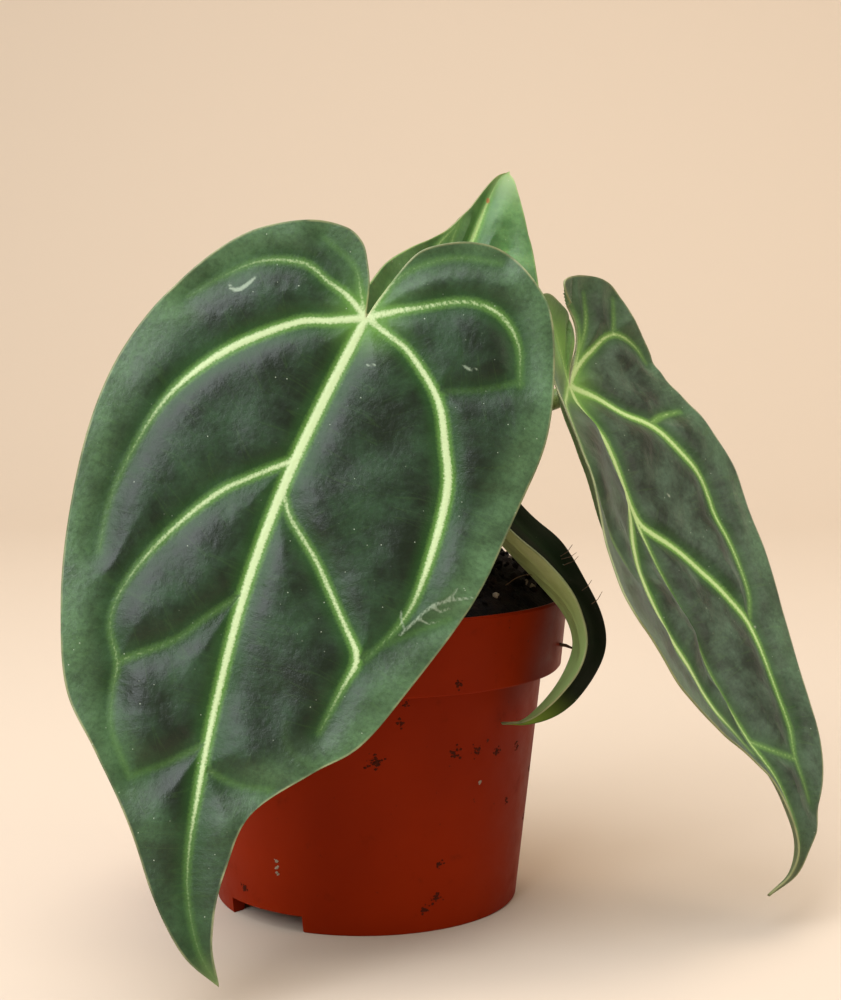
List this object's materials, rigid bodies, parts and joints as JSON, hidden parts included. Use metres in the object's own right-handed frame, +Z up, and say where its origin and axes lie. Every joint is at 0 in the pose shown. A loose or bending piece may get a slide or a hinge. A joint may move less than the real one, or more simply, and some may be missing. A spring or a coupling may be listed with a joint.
{
  "type": "potted anthurium regale",
  "caption": "Young velvet-leaf anthurium in a terracotta-coloured nursery pot: long-stalked hanging heart-shaped blades with raised pale veins, a short crown and heaped potting soil.",
  "frame": {"origin": "centre of the pot's base disc, on the surface that the pot stands on", "axes": "+Z up along the pot's axis, -Y towards the big front leaf's face, +X towards the side of the long narrow leaf"},
  "size_m": [0.2089, 0.2013, 0.2236],
  "materials": {
    "pot_plastic": "satin injection-moulded polypropylene, orange-brown, slightly translucent, dusted with soil",
    "potting_soil": "matt, crumbly, near-black brown with fibres and white perlite",
    "crown_stem": "matt, ringed with old leaf scars and dry brown fibres",
    "leaf_mature": "velvety dark green with a soft blue-grey sheen and pale green raised veins",
    "leaf_young": "satin, lighter green, with pale veins; the underside is matt sage green"
  },
  "bodies": {
    "root": {"pot": "pot_plastic", "soil": "potting_soil", "crown": "crown_stem", "leaf_front": "leaf_mature", "leaf_right": "leaf_mature", "leaf_back": "leaf_young", "leaf_small": "leaf_young"}
  },
  "joints": []
}
